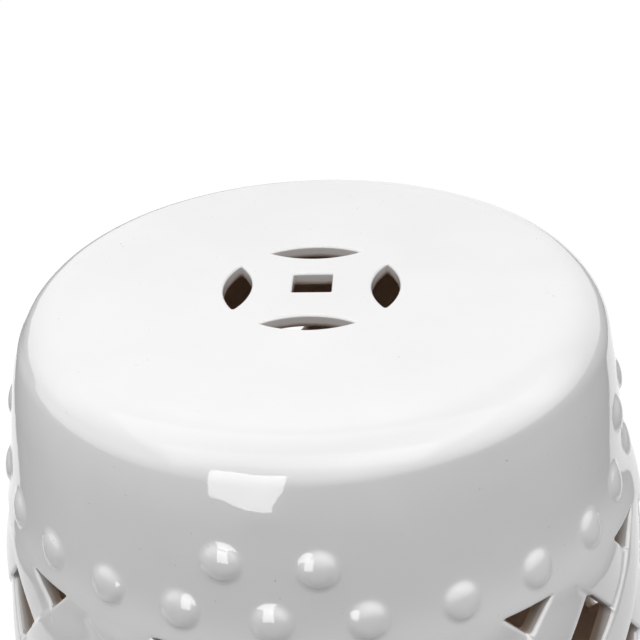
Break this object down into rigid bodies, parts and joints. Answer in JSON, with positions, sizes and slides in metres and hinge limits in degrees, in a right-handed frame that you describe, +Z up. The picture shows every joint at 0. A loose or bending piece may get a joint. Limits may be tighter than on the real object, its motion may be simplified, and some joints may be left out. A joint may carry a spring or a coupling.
{
  "type": "ceramic garden stool",
  "caption": "Barrel-shaped white glazed stoneware garden stool with a pierced coin in the seat, raised studs, a crossing-ribbon lattice wall and a ring foot.",
  "frame": {"origin": "on the floor, under the middle of the foot ring", "axes": "+Z up, along the stool's turning axis; -Y looks out of the front, where one pair of studs sits"},
  "size_m": [0.331, 0.331, 0.457],
  "materials": {
    "white_glaze": "glossy"
  },
  "bodies": {
    "root": {"foot_ring": "white_glaze", "lower_band": "white_glaze", "upper_band": "white_glaze", "shoulder_ring": "white_glaze", "seat_top": "white_glaze", "ribbon_right_01": "white_glaze", "ribbon_right_02": "white_glaze", "ribbon_right_03": "white_glaze", "ribbon_right_04": "white_glaze", "ribbon_right_05": "white_glaze", "ribbon_right_06": "white_glaze", "ribbon_right_07": "white_glaze", "ribbon_right_08": "white_glaze", "ribbon_right_09": "white_glaze", "ribbon_right_10": "white_glaze", "ribbon_right_11": "white_glaze", "ribbon_right_12": "white_glaze", "ribbon_left_01": "white_glaze", "ribbon_left_02": "white_glaze", "ribbon_left_03": "white_glaze", "ribbon_left_04": "white_glaze", "ribbon_left_05": "white_glaze", "ribbon_left_06": "white_glaze", "ribbon_left_07": "white_glaze", "ribbon_left_08": "white_glaze", "ribbon_left_09": "white_glaze", "ribbon_left_10": "white_glaze", "ribbon_left_11": "white_glaze", "ribbon_left_12": "white_glaze", "upper_studs_row": "white_glaze", "upper_studs_pairs": "white_glaze", "lower_studs_row": "white_glaze", "lower_studs_pairs": "white_glaze"}
  },
  "joints": []
}
